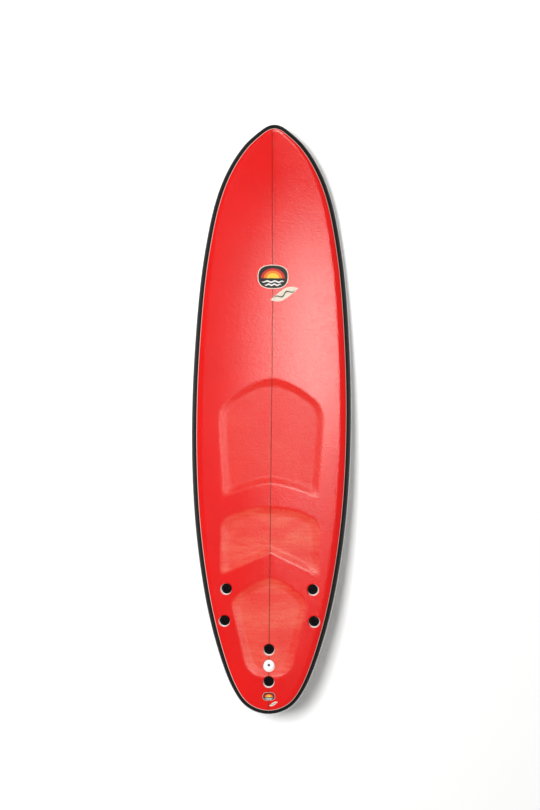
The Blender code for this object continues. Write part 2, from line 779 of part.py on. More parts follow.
def bore_skins(skin, bottom):
    wide = PLUG_RADIUS + CLEARANCE
    deck_bores = [cylinder(place, wide, 0.0, TOOL_HIGH) for place in bolt_places().values()]
    deck_bores.append(cylinder(LEASH_PLACE, LEASH_DISC_RADIUS + CLEARANCE, 0.0, TOOL_HIGH))
    combine(skin, joined(deck_bores), 'DIFFERENCE')
    bottom_bores = [
        cylinder(place, PLUG_TUBE_RADIUS + CLEARANCE, TOOL_LOW, rocker(place[1]) + 2 * BOTTOM_SKIN)
        for place in bolt_places().values()
    ]
    high = leash_base_height() + 2 * BOTTOM_SKIN
    bottom_bores.append(cylinder(LEASH_PLACE, LEASH_DISC_RADIUS + CLEARANCE, TOOL_LOW, high))
    combine(bottom, joined(bottom_bores), 'DIFFERENCE')


# Finish and placing

def give_material(item, slot):
    material = bpy.data.materials.get(slot)
    if material is None:
        colour, roughness, metallic = MATERIALS[slot]
        material = bpy.data.materials.new(slot)
        material.use_nodes = True
        shader = material.node_tree.nodes["Principled BSDF"]
        shader.inputs["Base Color"].default_value = (*colour, 1.0)
        shader.inputs["Roughness"].default_value = roughness
        shader.inputs["Metallic"].default_value = metallic
    item.data.materials.clear()
    item.data.materials.append(material)
    for face in item.data.polygons:
        face.use_smooth = True
    item.data.set_sharp_from_angle(angle=SHARP_ANGLE)


def rest_pitch(points):
    """Nose-down turn at which the belly and the side fin tips are equally low."""
    belly = [point for point in points if point.y > BELLY_END]
    fins = [point for point in points if point.y <= BELLY_END]
    low, high = 0.0, LARGEST_PITCH
    for step in range(SEARCH_STEPS):
        pitch = (low + high) / 2
        turn = Matrix.Rotation(-pitch, 3, 'X')
        if min((turn @ point).z for point in belly) > min((turn @ point).z for point in fins):
            low = pitch
        else:
            high = pitch
    return (low + high) / 2


def lay_down(items):
    points = [vertex.co.copy() for item in items for vertex in item.data.vertices]
    pitch = rest_pitch(points)
    turn = Matrix.Rotation(-pitch, 3, 'X')
    turned_points = [turn @ point for point in points]
    low = Vector([min(point[axis] for point in turned_points) for axis in range(3)])
    high = Vector([max(point[axis] for point in turned_points) for axis in range(3)])
    axes = bpy.data.objects.new("board_axes", None)
    bpy.context.scene.collection.objects.link(axes)
    axes.rotation_euler = (-pitch, 0.0, 0.0)
    axes.location = (0.0, -(low.y + high.y) / 2, -low.z)
    for item in items:
        item.parent = axes


def main():
    clear_scene()
    groups = {slot: [] for slot in MATERIALS}
    skin = make_deck_skin()
    bottom = make_bottom_skin()
    master = make_core_master()
    groups["core_foam"] = make_core_blanks(master)
    groups["stringer_wood"] = make_stringers(master)
    bpy.data.objects.remove(master, do_unlink=True)
    bore_skins(skin, bottom)
    groups["deck_foam"] = [skin]
    groups["bottom_slick"] = [bottom]
    groups["rail_foam"] = [make_rail_band("rail_band_left", -1), make_rail_band("rail_band_right", 1)]
    groups["leash_plastic"] = list(make_leash_plug())
    for name, place in bolt_places().items():
        groups["plug_plastic"].append(make_deck_plug(name, place))
        groups["screw_steel"].append(make_fin_screw(name, place))
        groups["insert_brass"].append(make_fin_insert(name, place))
    places = bolt_places()
    for name, cant in (("left", -FIN_CANT), ("right", FIN_CANT), ("centre", 0.0)):
        fin = make_fin("fin_" + name, places[name + "_front"], places[name + "_rear"], cant)
        groups["fin_plastic"].append(fin)
    items = []
    for slot, members in groups.items():
        for item in members:
            give_material(item, slot)
            items.append(item)
    lay_down(items)


main()
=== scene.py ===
# Foam-top surfboard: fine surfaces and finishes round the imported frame.
# Board axes: x to the board's right, y towards the nose, z up from the flat of the bottom, in metres.
import json
import math

import bmesh
import bpy
import numpy as np
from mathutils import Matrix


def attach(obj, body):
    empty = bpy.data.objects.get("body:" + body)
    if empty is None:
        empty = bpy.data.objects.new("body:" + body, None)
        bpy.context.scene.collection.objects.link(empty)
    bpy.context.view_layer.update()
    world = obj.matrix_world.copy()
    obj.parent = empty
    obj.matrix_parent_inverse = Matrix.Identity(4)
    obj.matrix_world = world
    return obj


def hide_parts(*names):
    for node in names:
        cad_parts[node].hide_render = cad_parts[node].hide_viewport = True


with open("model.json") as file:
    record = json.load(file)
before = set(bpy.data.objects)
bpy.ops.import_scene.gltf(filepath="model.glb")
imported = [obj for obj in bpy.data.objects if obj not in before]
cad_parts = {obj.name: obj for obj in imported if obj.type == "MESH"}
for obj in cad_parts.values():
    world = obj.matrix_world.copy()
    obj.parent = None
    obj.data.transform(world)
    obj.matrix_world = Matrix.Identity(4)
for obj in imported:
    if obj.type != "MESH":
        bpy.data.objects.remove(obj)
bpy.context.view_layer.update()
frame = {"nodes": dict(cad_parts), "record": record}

# The shape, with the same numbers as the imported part

boardShape = {
    "halfLength": 1.067,
    "template": (  # distance from the nose, half width
        (0.018, 0.0465), (0.072, 0.1095), (0.202, 0.1893), (0.456, 0.2525),
        (0.745, 0.2815), (1.035, 0.2920), (1.433, 0.2763), (1.723, 0.2335),
        (1.940, 0.1743), (2.049, 0.1275), (2.116, 0.0675),
    ),
    "middleThickness": 0.083, "noseThickness": 0.042, "tailThickness": 0.038,
    "thicknessPower": 2.2,
    "noseRocker": 0.125, "tailRocker": 0.048, "noseRockerPower": 2.5, "tailRockerPower": 2.2,
    "flatHalfLength": 0.150,
    "endBlendPower": 6,  # how late a width changes from its side value to its tip value
    "spineShare": 0.86,  # the ribs fan out from a spine this share of the length
    "apexShare": 0.42,  # height of the rail's widest line, as a share of the thickness
    "crownShare": 0.25,  # share of the upper height that is the deck's crown
    "deckRail": 0.045, "tipDeckRail": 0.030, "bottomRail": 0.055,
    "lip": 0.0022,  # how far the bottom skin's lip shows in plan
    "bandSide": 0.0160, "bandNose": 0.0140, "bandTail": 0.0115,
    "deckSkin": 0.006, "bottomSkin": 0.003, "gap": 0.0003,
}
sunkZones = {
    "sideDepth": 0.0024, "middleDepth": 0.0045, "halfWidth": 0.196, "wall": 0.036, "corner": 0.030,
    "zones": (  # edges drop towards the sides, and sides taper away from their widest place
        {"top": 0.146, "topDrop": 0.112, "topPower": 1.75, "bottom": -0.245, "bottomDrop": 0.062,
         "bottomPower": 1.5, "halfWidth": 0.196, "widest": -0.020, "noseTaper": 0.064, "tailTaper": 0.064},
        {"top": -0.320, "topDrop": 0.055, "topPower": 2.4, "bottom": -0.494, "bottomDrop": 0.086,
         "bottomPower": 1.0, "halfWidth": 0.184, "widest": -0.430, "noseTaper": 0.0, "tailTaper": 0.0},
        {"top": -0.572, "topDrop": 0.088, "topPower": 1.5, "bottom": -0.939, "bottomDrop": -0.073,
         "bottomPower": 2.0, "halfWidth": 0.142, "widest": -0.672, "noseTaper": 0.0, "tailTaper": 0.245},
    ),
}
fastenings = {
    "sideFront": (0.1550, -0.619), "sideRear": (0.1605, -0.733),
    "centreFront": (0.0, -0.834), "centreRear": (0.0, -0.948),
    "leash": (0.0, -0.891),
    "plugRadius": 0.018, "leashRadius": 0.019,
}

bottomMount = next(mount for mount in frame["record"]["mounts"] if mount["name"] == "bottom_flat")
mountInBoard = (0.05, -0.03)  # where that mount lies in board axes, on the flat of the bottom
pitchSin = -bottomMount["axis"][1]
pitchCos = -bottomMount["axis"][2]
boardY = bottomMount["pos_m"][1] - pitchCos * mountInBoard[1]
boardZ = bottomMount["pos_m"][2] + pitchSin * mountInBoard[1]


def toWorld(points):
    # the board turned nose down by its pitch and put in its place at rest
    world = np.empty_like(points)
    world[..., 0] = points[..., 0]
    world[..., 1] = pitchCos * points[..., 1] + pitchSin * points[..., 2] + boardY
    world[..., 2] = -pitchSin * points[..., 1] + pitchCos * points[..., 2] + boardZ
    return world


def toBoard(points):
    # the way back from the place at rest to board axes
    board = np.empty_like(points)
    y, z = points[..., 1] - boardY, points[..., 2] - boardZ
    board[..., 0] = points[..., 0]
    board[..., 1] = pitchCos * y - pitchSin * z
    board[..., 2] = pitchSin * y + pitchCos * z
    return board


def smoothStep(share):
    share = np.clip(share, 0.0, 1.0)
    return share * share * (3.0 - 2.0 * share)


# Outline: half width = a smooth factor through the template x sine of the station angle

templateAngles = np.array([
    math.acos(1.0 - fromNose / boardShape["halfLength"]) for fromNose, width in boardShape["template"]
])
templateFactors = np.array([width for fromNose, width in boardShape["template"]]) / np.sin(templateAngles)
knotAngles = np.concatenate(([0.0], templateAngles, [math.pi]))
knotFactors = np.concatenate((templateFactors[:1], templateFactors, templateFactors[-1:]))
knotSlopes = np.empty_like(knotFactors)
knotSlopes[1:-1] = (knotFactors[2:] - knotFactors[:-2]) / (knotAngles[2:] - knotAngles[:-2])
knotSlopes[0] = (knotFactors[1] - knotFactors[0]) / (knotAngles[1] - knotAngles[0])
knotSlopes[-1] = (knotFactors[-1] - knotFactors[-2]) / (knotAngles[-1] - knotAngles[-2])


def halfWidth(angle):
    # cubic Hermite curve through the knots, times the sine
    at = np.clip(np.searchsorted(knotAngles, angle, side="right") - 1, 0, len(knotAngles) - 2)
    run = knotAngles[at + 1] - knotAngles[at]
    t = (angle - knotAngles[at]) / run
    factor = (
        (2 * t ** 3 - 3 * t ** 2 + 1) * knotFactors[at]
        + (t ** 3 - 2 * t ** 2 + t) * run * knotSlopes[at]
        + (3 * t ** 2 - 2 * t ** 3) * knotFactors[at + 1]
        + (t ** 3 - t ** 2) * run * knotSlopes[at + 1]
    )
    return factor * np.sin(angle)


def rocker(y):
    # rise of the bottom = tip rise x (distance past the flat, as a share) to a power
    flat = boardShape["flatHalfLength"]
    run = np.maximum(np.abs(y) - flat, 0.0) / (boardShape["halfLength"] - flat)
    nose = boardShape["noseRocker"] * run ** boardShape["noseRockerPower"]
    tail = boardShape["tailRocker"] * run ** boardShape["tailRockerPower"]
    return np.where(y > 0, nose, tail)


def thickness(y):
    # middle thickness less a share that grows with a power of the distance
    tip = np.where(y > 0, boardShape["noseThickness"], boardShape["tailThickness"])
    share = np.minimum(np.abs(y) / boardShape["halfLength"], 1.0) ** boardShape["thicknessPower"]
    return boardShape["middleThickness"] - (boardShape["middleThickness"] - tip) * share


def endBlend(y, nose, side, tail):
    share = np.minimum((np.abs(y) / boardShape["halfLength"]) ** boardShape["endBlendPower"], 1.0)
    return side + (np.where(y > 0, nose, tail) - side) * share


def softLeast(first, second):
    # the smaller of two distances, eased where they meet so that a corner is round
    corner = sunkZones["corner"]
    ease = np.maximum(corner - np.abs(first - second), 0.0) / corner
    return np.minimum(first, second) - ease * ease * corner / 4


def insideZones(x, y):
    # distance inside the nearest zone's edges, negative outside all of them
    found = []
    for zone in sunkZones["zones"]:
        share = np.abs(x) / zone["halfWidth"]
        top = zone["top"] - zone["topDrop"] * share ** zone["topPower"] - y
        bottom = y - zone["bottom"] + zone["bottomDrop"] * share ** zone["bottomPower"]
        ahead = y - zone["widest"]
        taper = zone["noseTaper"] * np.maximum(ahead, 0.0) + zone["tailTaper"] * np.maximum(-ahead, 0.0)
        side = zone["halfWidth"] - taper - np.abs(x)
        found.append(softLeast(softLeast(top, bottom), side))
    return np.maximum.reduce(found)


def sunkDepth(x, y):
    # depth = side depth + more towards the middle, times a smooth wall
    middle = np.maximum(1.0 - (x / sunkZones["halfWidth"]) ** 2, 0.0)
    full = sunkZones["sideDepth"] + (sunkZones["middleDepth"] - sunkZones["sideDepth"]) * middle
    return full * smoothStep(insideZones(x, y) / sunkZones["wall"])


# Ribs: each runs in plan from the spine to a point of the outline

def makeRibs(angle):
    edgeY = boardShape["halfLength"] * np.cos(angle)
    spineY = boardShape["spineShare"] * edgeY
    edgeX = halfWidth(angle)
    return {"edgeX": edgeX, "edgeY": edgeY, "spineY": spineY, "run": np.hypot(edgeX, edgeY - spineY)}


def placeOnRib(ribs, out, height, sunk):
    share = out / ribs["run"]
    x = ribs["edgeX"] * share
    y = ribs["spineY"] + (ribs["edgeY"] - ribs["spineY"]) * share
    drop = sunkDepth(x, y) if sunk else 0.0
    return np.stack((x, y, rocker(y) + height - drop), axis=-1)


def deckPoints(ribs, fromEdge, inset):
    # deck height = apex + rail quarter ellipse + crown x (1 - share squared), moved inwards
    out = ribs["run"] - fromEdge
    share = out / ribs["run"]
    y = ribs["spineY"] + (ribs["edgeY"] - ribs["spineY"]) * share
    crown = boardShape["crownShare"]
    apex = boardShape["apexShare"] * thickness(y)
    upper = thickness(y) - apex
    width = endBlend(y, boardShape["tipDeckRail"], boardShape["deckRail"], boardShape["tipDeckRail"])
    across = np.clip(1.0 - fromEdge / width, 0.0, 1.0)
    along = np.sqrt(1.0 - across * across)
    height = apex + upper * ((1.0 - crown) * along + crown * (1.0 - share * share))
    crownSlope = 2.0 * crown * upper * share / ribs["run"]
    normalOut = (1.0 - crown) * upper / width * across + crownSlope * along
    size = np.hypot(normalOut, along)
    return placeOnRib(ribs, out - inset * normalOut / size, height - inset * along / size, True)


def bottomPoints(ribs, turn, inset):
    # tucked rail = quarter ellipse from the apex to the flat bottom
    apex = boardShape["apexShare"] * thickness(ribs["edgeY"])
    tuck = boardShape["bottomRail"]
    out = ribs["run"] - tuck * (1.0 - np.cos(turn))
    height = apex * (1.0 - np.sin(turn))
    normalOut, normalDown = np.cos(turn) / tuck, np.sin(turn) / apex
    size = np.hypot(normalOut, normalDown)
    return placeOnRib(ribs, out - inset * normalOut / size, height + inset * normalDown / size, False)


def flatPoints(ribs, shareOut, inset):
    # the flat of the bottom, from the end of the tuck (1) to the spine (0)
    out = (ribs["run"] - boardShape["bottomRail"]) * shareOut
    return placeOnRib(ribs, out, np.full_like(out, inset), False)


def deckEdge(ribs):
    band = endBlend(ribs["edgeY"], boardShape["bandNose"], boardShape["bandSide"], boardShape["bandTail"])
    return boardShape["lip"] + boardShape["gap"] + band


halvings = 40  # steps of the search for a rib


def ribOver(x, y):
    # the rib that passes over a point, by halving, and the point's distance from that rib's end
    noseSide = np.zeros_like(y)
    tailSide = np.full_like(y, math.pi)
    for _ in range(halvings):
        angle = (noseSide + tailSide) / 2
        ribs = makeRibs(angle)
        runY = ribs["edgeY"] - ribs["spineY"]
        ahead = ribs["edgeX"] * (y - ribs["spineY"]) > runY * np.abs(x)
        tailSide = np.where(ahead, angle, tailSide)
        noseSide = np.where(ahead, noseSide, angle)
    covered = ribs["edgeX"] * np.abs(x) + runY * (y - ribs["spineY"])
    return ribs, ribs["run"] - covered / ribs["run"]


def deckHeightAt(x, y):
    ribs, fromEdge = ribOver(x, y)
    return deckPoints(ribs, fromEdge, 0.0)[..., 2]


tipStart = 0.90  # distance from the middle where a tip's closer rows begin


def ribAngles(tipRows, middleRows):
    # even steps of angle round the tips, even steps of length between them
    tipAngle = math.acos(tipStart / boardShape["halfLength"])
    tips = np.linspace(0.0, tipAngle, tipRows + 1)[:-1]
    middle = np.arccos(np.linspace(tipStart, -tipStart, middleRows) / boardShape["halfLength"])
    return np.concatenate((tips, middle, math.pi - tips[::-1]))[:, None]


# Mesh helpers

def addMesh(name, points, faces, material):
    mesh = bpy.data.meshes.new(name)
    mesh.from_pydata(toWorld(points).tolist(), [], faces)
    obj = bpy.data.objects.new(name, mesh)
    bpy.context.scene.collection.objects.link(obj)
    mesh.materials.append(material)
    return obj


def tidyMesh(obj, merge, sharp):
    # merge folded ends, turn all faces outwards and shade smooth except at real edges
    grid = bmesh.new()
    grid.from_mesh(obj.data)
    bmesh.ops.remove_doubles(grid, verts=grid.verts, dist=merge)
    bmesh.ops.dissolve_degenerate(grid, edges=grid.edges, dist=merge)
    bmesh.ops.recalc_face_normals(grid, faces=grid.faces)
    grid.to_mesh(obj.data)
    grid.free()
    obj.data.shade_smooth()
    obj.data.set_sharp_from_angle(angle=math.radians(sharp))


def loopFaces(rows, columns):
    # quads between neighbouring closed loops
    row, column = np.meshgrid(np.arange(rows - 1), np.arange(columns), indexing="ij")
    after = (column + 1) % columns
    quads = np.stack((row * columns + column, row * columns + after,
                      (row + 1) * columns + after, (row + 1) * columns + column), axis=-1)
    return quads.reshape(-1, 4).tolist()


def loftLoops(name, loops, material, capped=False, sharp=40.0, merge=1e-6):
    rows, columns = loops.shape[:2]
    faces = loopFaces(rows, columns)
    if capped:
        faces.append(list(range(columns))[::-1])
        faces.append(list(range((rows - 1) * columns, rows * columns)))
    obj = addMesh(name, loops.reshape(-1, 3), faces, material)
    tidyMesh(obj, merge, sharp)
    return obj


def mirroredLoops(upper, lower):
    # right-hand points from the middle out, then their left-hand copies, as closed loops
    flip = np.array((-1.0, 1.0, 1.0))
    leftUpper = upper[:, :0:-1] * flip
    leftLower = lower[:, -2::-1] * flip
    return np.concatenate((leftUpper, upper, lower, leftLower), axis=1)


def turnedLoops(profile, place, sides):
    # an outline of (radius, height) carried round an upright axis
    turn = np.linspace(0.0, 2 * math.pi, sides, endpoint=False)[None, :]
    radius, height = np.array(profile).T
    x = place[0] + radius[:, None] * np.cos(turn)
    y = place[1] + radius[:, None] * np.sin(turn)
    return np.stack((x, y, height[:, None] + 0.0 * turn), axis=-1)


def turnedPiece(name, profile, place, material, sides=64):
    # a ring profile closes on itself; one that starts and ends at radius 0 closes at its poles
    loops = turnedLoops(profile, place, sides)
    if profile[0][0] > 0.0:
        loops = np.concatenate((loops, loops[:1]), axis=0)
    return loftLoops(name, loops, material, sharp=35.0)


def cut(obj, tool, operation="DIFFERENCE"):
    # applies one exact boolean and uses its tool up
    modifier = obj.modifiers.new("cut", "BOOLEAN")
    modifier.operation = operation
    modifier.solver = "EXACT"
    modifier.object = tool
    graph = bpy.context.evaluated_depsgraph_get()
    mesh = bpy.data.meshes.new_from_object(obj.evaluated_get(graph))
    obj.modifiers.clear()
    obj.data = mesh
    bpy.data.objects.remove(tool, do_unlink=True)


def joinTools(tools):
    grid = bmesh.new()
    for tool in tools:
        grid.from_mesh(tool.data)
        bpy.data.objects.remove(tool, do_unlink=True)
    mesh = bpy.data.meshes.new("tool")
    grid.to_mesh(mesh)
    grid.free()
    obj = bpy.data.objects.new("tool", mesh)
    bpy.context.scene.collection.objects.link(obj)
    return obj


# Finishes

def newMaterial(name, colour, roughness, metallic=0.0, specular=0.5):
    material = bpy.data.materials.new(name)
    material.use_nodes = True
    shader = material.node_tree.nodes["Principled BSDF"]
    shader.inputs["Base Color"].default_value = (*colour, 1.0)
    shader.inputs["Roughness"].default_value = roughness
    shader.inputs["Metallic"].default_value = metallic
    shader.inputs["Specular IOR Level"].default_value = specular
    return material, material.node_tree.nodes, material.node_tree.links, shader


noiseLow, noiseHigh = 0.3, 0.7  # the range that a noise mostly stays in


def addNode(nodes, kind, settings=None, **sockets):
    # a node with its own settings, and numbers on its sockets
    node = nodes.new(kind)
    for name, value in (settings or {}).items():
        setattr(node, name, value)
    for name, value in sockets.items():
        node.inputs[name].default_value = value
    return node


def noiseOn(nodes, links, scale, detail, roughness=0.5, stretch=None):
    # noise over the piece, drawn out most where "stretch" is least
    place = addNode(nodes, "ShaderNodeTexCoord").outputs["Object"]
    if stretch:
        mapping = addNode(nodes, "ShaderNodeMapping", Scale=stretch)
        links.new(place, mapping.inputs["Vector"])
        place = mapping.outputs["Vector"]
    noise = addNode(nodes, "ShaderNodeTexNoise", Scale=scale, Detail=detail, Roughness=roughness)
    links.new(place, noise.inputs["Vector"])
    return noise


def shadeVariation(nodes, links, shader, noise, dark, light):
    # base colour between two shades, from one noise
    ramp = addNode(nodes, "ShaderNodeValToRGB")
    ramp.color_ramp.elements[0].color = (*dark, 1.0)
    ramp.color_ramp.elements[1].color = (*light, 1.0)
    ramp.color_ramp.elements[0].position = noiseLow
    ramp.color_ramp.elements[1].position = noiseHigh
    links.new(noise.outputs["Fac"], ramp.inputs["Fac"])
    links.new(ramp.outputs["Color"], shader.inputs["Base Color"])
    return ramp


def bumpFrom(nodes, links, shader, height, distance):
    bump = addNode(nodes, "ShaderNodeBump", Strength=1.0, Distance=distance)
    links.new(height, bump.inputs["Height"])
    links.new(bump.outputs["Normal"], shader.inputs["Normal"])
    return bump


def rangeOf(nodes, links, value, low, high, toLow, toHigh):
    # one range stretched on to another and kept inside it
    spread = addNode(nodes, "ShaderNodeMapRange")
    for name, number in (("From Min", low), ("From Max", high), ("To Min", toLow), ("To Max", toHigh)):
        spread.inputs[name].default_value = number
    links.new(value, spread.inputs["Value"])
    return spread.outputs["Result"]


deckFinish = {
    "red": (0.75, 0.0022, 0.0008), "deepRed": (0.71, 0.0012, 0.0003), "shadeScale": 9.0,
    # a pale rim along the skin's edge; the same colour is a painted highlight beside each hole
    "paleRimAndHoleHighlight": (0.92, 0.66, 0.60), "edgeWidth": 0.0022,
    "raisedRoughness": 0.14, "sunkRoughness": 0.30, "roughnessSwing": (-0.05, 0.06), "specular": 0.9,
    # painted sheen: the paler red that the sunk floors take, standing in for the light they mirror
    "sunkPaintedSheen": (0.78, 0.085, 0.048),
    "chestPaintedSheen": 0.22, "chestStart": (-0.33, -0.25),  # share of the painted sheen left in the front zone
    "grainScale": 175.0, "grainDepth": 0.00042, "swellScale": 120.0, "swellDepth": 0.00022,
    "streakScale": 110.0, "streakStretch": (0.14, 1.0, 1.0), "streakShare": (0.25, 1.25),
    "patchScale": 13.0, "patchStretch": (0.5, 1.0, 1.0), "patchShare": (0.35, 1.15),
    "patchRange": (0.36, 0.62),
    "lineColour": (0.045, 0.022, 0.010), "lineStrength": 0.9, "lineSpecular": 0.1,
    "lineHalfWidth": 0.0013, "lineSoft": 0.4, "lineDrift": -0.009, "driftFrom": 0.43, "driftTo": 1.05,
}


def mixed(nodes, links, factor, first, second):
    # colour blend; each side is a socket or a fixed colour
    mix = addNode(nodes, "ShaderNodeMix", {"data_type": "RGBA"})
    links.new(factor, mix.inputs["Factor"])
    for name, side in (("A", first), ("B", second)):
        socket = [item for item in mix.inputs if item.name == name and item.type == "RGBA"][0]
        if isinstance(side, tuple):
            socket.default_value = (*side, 1.0)
        else:
            links.new(side, socket)
    return [item for item in mix.outputs if item.type == "RGBA"][0]


def joinedBy(nodes, links, operation, first, second):
    # one step of arithmetic; each side is a socket or a number
    node = addNode(nodes, "ShaderNodeMath", {"operation": operation})
    for socket, side in zip(node.inputs, (first, second)):
        if isinstance(side, float):
            socket.default_value = side
        else:
            links.new(side, socket)
    return node.outputs[0]


def centreLine(nodes, links, across, along):
    # strong where the distance from the drifting middle is under the line's half width
    look = deckFinish
    drift = rangeOf(nodes, links, along, look["driftFrom"], look["driftTo"], 0.0, look["lineDrift"])
    far = joinedBy(nodes, links, "ABSOLUTE", joinedBy(nodes, links, "SUBTRACT", across, drift), 0.0)
    width = look["lineHalfWidth"]
    soft = width * look["lineSoft"]
    return rangeOf(nodes, links, far, width - soft, width + soft, look["lineStrength"], 0.0)


def streaksOn(nodes, links):
    # noise drawn out across the board: fine streaks x broad patches, which break up the painted sheen of the
    # sunk zones
    look = deckFinish
    streaks = noiseOn(nodes, links, look["streakScale"], 6.0, 0.6, look["streakStretch"])
    fine = rangeOf(nodes, links, streaks.outputs["Fac"], noiseLow, noiseHigh, *look["streakShare"])
    patches = noiseOn(nodes, links, look["patchScale"], 3.0, 0.5, look["patchStretch"])
    broad = rangeOf(nodes, links, patches.outputs["Fac"], *look["patchRange"], *look["patchShare"])
    return joinedBy(nodes, links, "MULTIPLY", fine, broad)


def deckColour(nodes, links, shader, sunk):
    # two reds, made paler in the sunk zones by a painted sheen, with the centre line, a pale rim at the
    # skin's edge and a painted highlight beside each hole over them
    look = deckFinish
    parts = addNode(nodes, "ShaderNodeSeparateXYZ")
    links.new(addNode(nodes, "ShaderNodeTexCoord").outputs["Object"], parts.inputs["Vector"])
    shades = noiseOn(nodes, links, look["shadeScale"], 2.0)
    ramp = shadeVariation(nodes, links, shader, shades, look["deepRed"], look["red"])
    # painted sheen: paler where sunk, broken by the streaks, and weaker in the front zone
    share = rangeOf(nodes, links, parts.outputs["Y"], *look["chestStart"], 1.0, look["chestPaintedSheen"])
    pale = joinedBy(nodes, links, "MULTIPLY", sunk, streaksOn(nodes, links))
    pale = joinedBy(nodes, links, "MULTIPLY", pale, share)
    base = mixed(nodes, links, pale, ramp.outputs["Color"], look["sunkPaintedSheen"])
    line = centreLine(nodes, links, parts.outputs["X"], parts.outputs["Y"])
    lined = mixed(nodes, links, line, base, look["lineColour"])
    # the pale rim along the skin's edge, and the painted highlight in the same colour beside each hole
    edge = addNode(nodes, "ShaderNodeAttribute", {"attribute_name": "fromEdge"}).outputs["Fac"]
    rim = rangeOf(nodes, links, edge, look["edgeWidth"] * 0.8, look["edgeWidth"] * 1.2, 1.0, 0.0)
    links.new(mixed(nodes, links, rim, lined, look["paleRimAndHoleHighlight"]), shader.inputs["Base Color"])
    dulled = rangeOf(nodes, links, line, 0.0, 1.0, look["specular"], look["lineSpecular"])
    links.new(dulled, shader.inputs["Specular IOR Level"])


def deckMaterial():
    look = deckFinish
    material, nodes, links, shader = newMaterial("embossedRedFoam", look["red"], look["raisedRoughness"])
    sunk = addNode(nodes, "ShaderNodeAttribute", {"attribute_name": "sunk"}).outputs["Fac"]
    deckColour(nodes, links, shader, sunk)
    # embossed grain over a bump of broader unevenness
    grain = noiseOn(nodes, links, look["grainScale"], 2.0)
    swell = noiseOn(nodes, links, look["swellScale"], 5.0, 0.65)
    under = addNode(nodes, "ShaderNodeBump", Distance=look["swellDepth"])
    links.new(swell.outputs["Fac"], under.inputs["Height"])
    bump = bumpFrom(nodes, links, shader, grain.outputs["Fac"], look["grainDepth"])
    links.new(under.outputs["Normal"], bump.inputs["Normal"])
    # roughness = the zone's own + a swing that follows the unevenness
    uneven = rangeOf(nodes, links, swell.outputs["Fac"], noiseLow, noiseHigh, *look["roughnessSwing"])
    zoned = rangeOf(nodes, links, sunk, 0.0, 1.0, look["raisedRoughness"], look["sunkRoughness"])
    links.new(joinedBy(nodes, links, "ADD", uneven, zoned), shader.inputs["Roughness"])
    return material


def plainGrain(name, dark, light, roughness, scale, depth, metallic=0.0, specular=0.5):
    # a base colour that varies a little, with roughness and bump from one noise
    material, nodes, links, shader = newMaterial(name, light, roughness, metallic, specular)
    noise = noiseOn(nodes, links, scale, 4.0, 0.55)
    shadeVariation(nodes, links, shader, noise, dark, light)
    low, high = roughness - 0.05, roughness + 0.05
    rough = rangeOf(nodes, links, noise.outputs["Fac"], noiseLow, noiseHigh, low, high)
    links.new(rough, shader.inputs["Roughness"])
    bumpFrom(nodes, links, shader, noise.outputs["Fac"], depth)
    return material


def woodMaterial():
    # long grain: noise stretched along the board
    material, nodes, links, shader = newMaterial("stringerPly", (0.55, 0.36, 0.18), 0.6)
    grain = noiseOn(nodes, links, 4.0, 6.0, 0.5, (60.0, 3.0, 60.0))
    shadeVariation(nodes, links, shader, grain, (0.38, 0.22, 0.10), (0.66, 0.46, 0.26))
    bumpFrom(nodes, links, shader, grain.outputs["Fac"], 0.0002)
    return material


def beadFoamMaterial():
    # expanded beads: bright cells with faint edges
    material, nodes, links, shader = newMaterial("beadFoam", (0.93, 0.93, 0.91), 0.85)
    place = addNode(nodes, "ShaderNodeTexCoord")
    beads = addNode(nodes, "ShaderNodeTexVoronoi", Scale=260.0)
    links.new(place.outputs["Object"], beads.inputs["Vector"])
    ramp = addNode(nodes, "ShaderNodeValToRGB")
    ramp.color_ramp.elements[0].color = (0.94, 0.94, 0.92, 1.0)
    ramp.color_ramp.elements[1].color = (0.80, 0.80, 0.78, 1.0)
    links.new(beads.outputs["Distance"], ramp.inputs["Fac"])
    links.new(ramp.outputs["Color"], shader.inputs["Base Color"])
    bumpFrom(nodes, links, shader, beads.outputs["Distance"], 0.0004)
    return material


redFoam = deckMaterial()
bandFoam = plainGrain("blackRailFoam", (0.005, 0.006, 0.005), (0.012, 0.013, 0.011), 0.46, 300.0, 0.00012,
                      specular=0.28)
slickWhite = plainGrain("whiteSlick", (0.86, 0.86, 0.86), (0.93, 0.93, 0.92), 0.22, 60.0, 0.00004)
plugBlack = plainGrain("plugPlastic", (0.003, 0.003, 0.003), (0.006, 0.006, 0.006), 0.36, 500.0, 0.00004,
                       specular=0.12)
leashWhite = plainGrain("leashPlastic", (0.84, 0.84, 0.83), (0.92, 0.92, 0.91), 0.32, 400.0, 0.00004)
finBlack = plainGrain("finPlastic", (0.014, 0.014, 0.016), (0.026, 0.026, 0.029), 0.38, 140.0, 0.00010)
screwSteel = plainGrain("blackenedSteel", (0.020, 0.020, 0.021), (0.04, 0.04, 0.042), 0.38, 900.0, 0.00003,
                        metallic=1.0)
insertBrass = plainGrain("insertBrass", (0.62, 0.42, 0.16), (0.74, 0.54, 0.24), 0.32, 700.0, 0.00003,
                         metallic=1.0)
nodeFinishes = {
    "core_": beadFoamMaterial(), "stringer_": woodMaterial(), "fin_insert_": insertBrass,
    "leash_plug_base": leashWhite,
}
for node, obj in frame["nodes"].items():
    for start, material in nodeFinishes.items():
        if node.startswith(start):
            obj.data.materials.clear()
            obj.data.materials.append(material)
print("finishes made")

# Deck skin, rail bands and bottom skin

